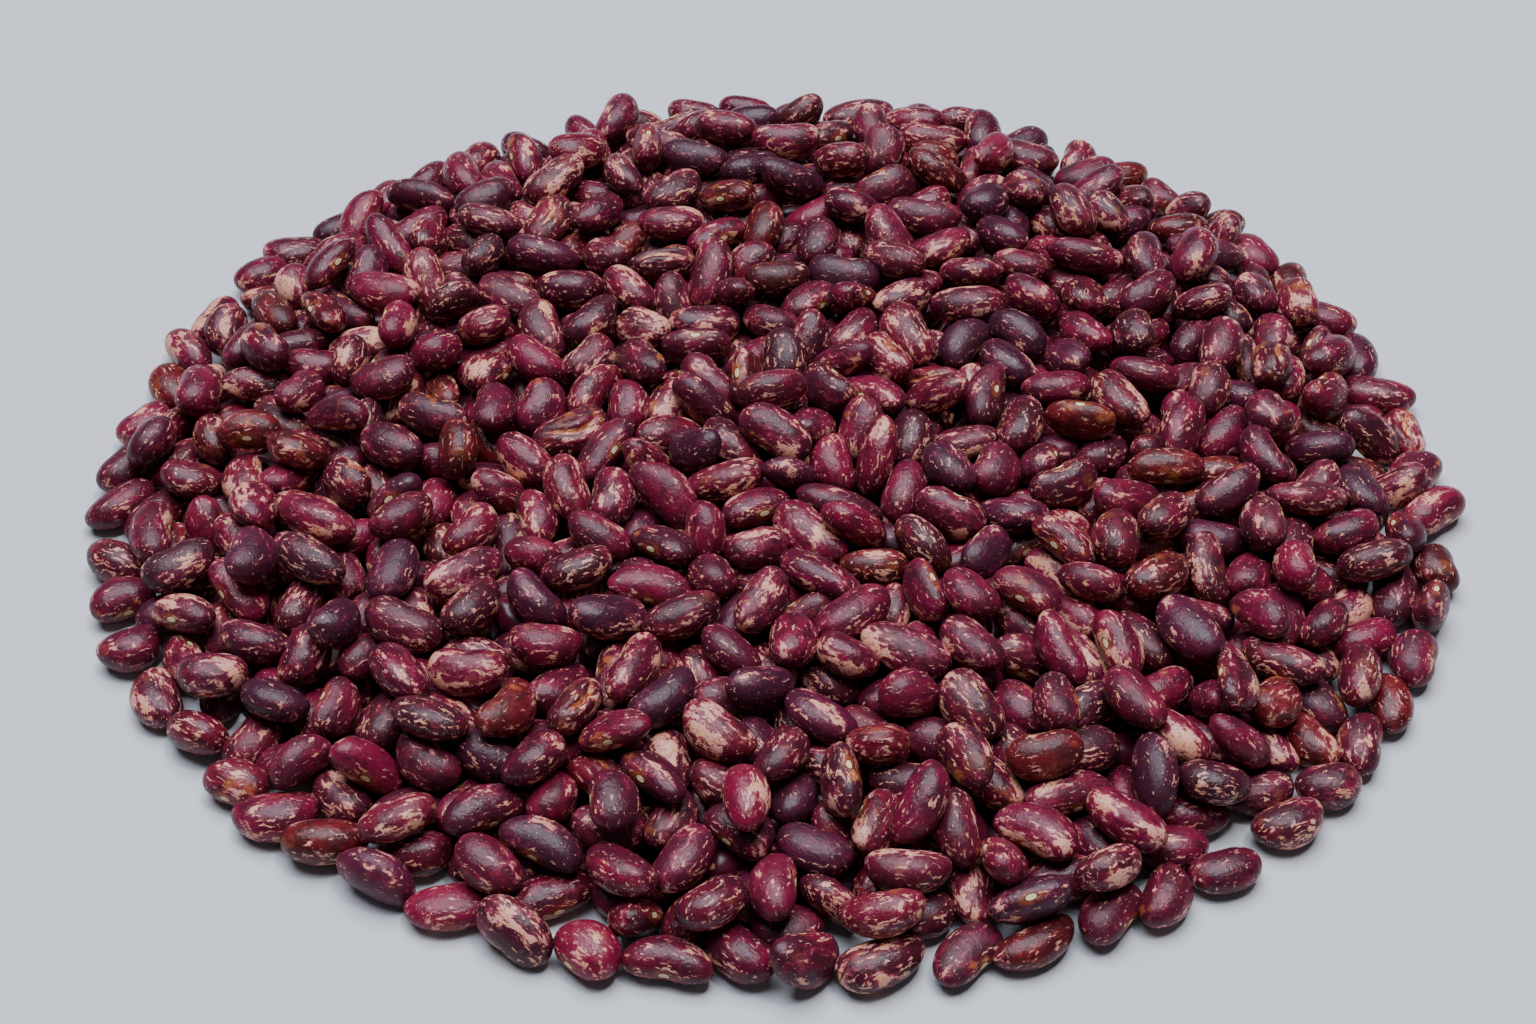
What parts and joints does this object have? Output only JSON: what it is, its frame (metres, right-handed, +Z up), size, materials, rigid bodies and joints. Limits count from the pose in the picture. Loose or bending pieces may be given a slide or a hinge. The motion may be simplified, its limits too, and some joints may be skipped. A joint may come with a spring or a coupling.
{
  "type": "heap of dried beans",
  "caption": "Low round heap of dried speckled maroon kidney beans, lying loose on its flat foot with an uneven outline of single beans.",
  "frame": {"origin": "middle of the heap's foot, on the surface it lies on", "axes": "+Z up, +X to the right and -Y to the front as the picture shows the heap"},
  "size_m": [0.2834, 0.2748, 0.0237],
  "materials": {
    "bean_coat": "glossy dry seed coat, maroon with cream mottles"
  },
  "bodies": {
    "root": {"bean_heap": "bean_coat"}
  },
  "joints": []
}
